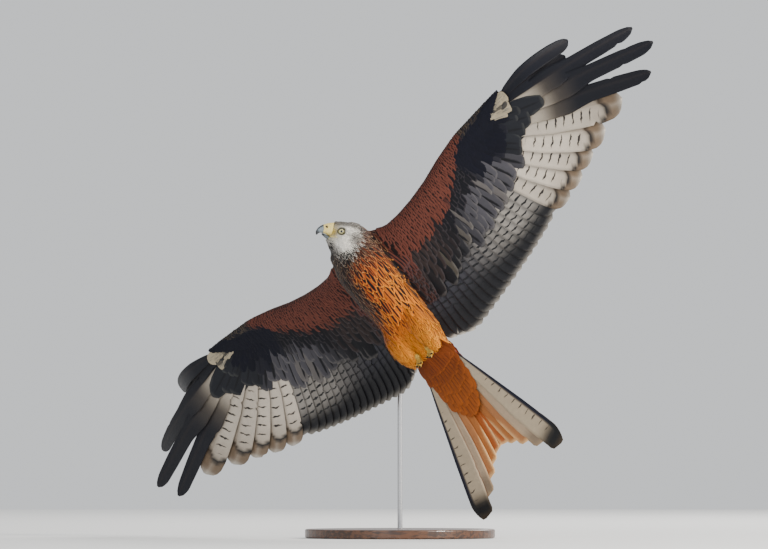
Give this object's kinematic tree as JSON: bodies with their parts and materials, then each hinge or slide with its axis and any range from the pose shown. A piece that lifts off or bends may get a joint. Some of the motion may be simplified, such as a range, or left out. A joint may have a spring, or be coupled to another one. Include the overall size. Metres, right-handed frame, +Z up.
{
  "type": "red kite bird, life-size display model on a stand",
  "caption": "Life-size red kite soaring in a steep bank, wings and forked tail spread, held from behind by a steel rod on a round wooden base.",
  "frame": {"origin": "centre of the round base's underside, on the floor", "axes": "+Z up; +X to the right of the camera's view and -Y towards the camera, which faces the bird's belly"},
  "size_m": [0.9969, 0.7374, 1.0215],
  "materials": {
    "body_plumage": "matt rufous feathers with dark shaft streaks",
    "head_plumage": "matt pale grey feathers with fine dark streaks",
    "wing_feathers": "smooth satin flight feathers, dark with a pale window",
    "tail_feathers": "smooth satin feathers, orange with pale edges",
    "horn": "polished dark horn with a yellow base",
    "eye": "wet glossy pale yellow iris with a black pupil",
    "bare_skin": "scaly yellow skin with black claws",
    "stand_steel": "satin steel rod",
    "stand_wood": "dark oiled wood"
  },
  "bodies": {
    "root": {"torso": "body_plumage", "neck": "body_plumage", "head": "head_plumage", "bill_upper": "horn", "bill_lower": "horn", "eye_left": "eye", "eye_right": "eye", "wing_left_arm": "wing_feathers", "wing_left_hand": "wing_feathers", "wing_right_arm": "wing_feathers", "wing_right_hand": "wing_feathers", "tail": "tail_feathers", "leg_left": "body_plumage", "leg_right": "body_plumage", "foot_left": "bare_skin", "foot_right": "bare_skin", "stand_rod": "stand_steel", "stand_base": "stand_wood"}
  },
  "joints": []
}
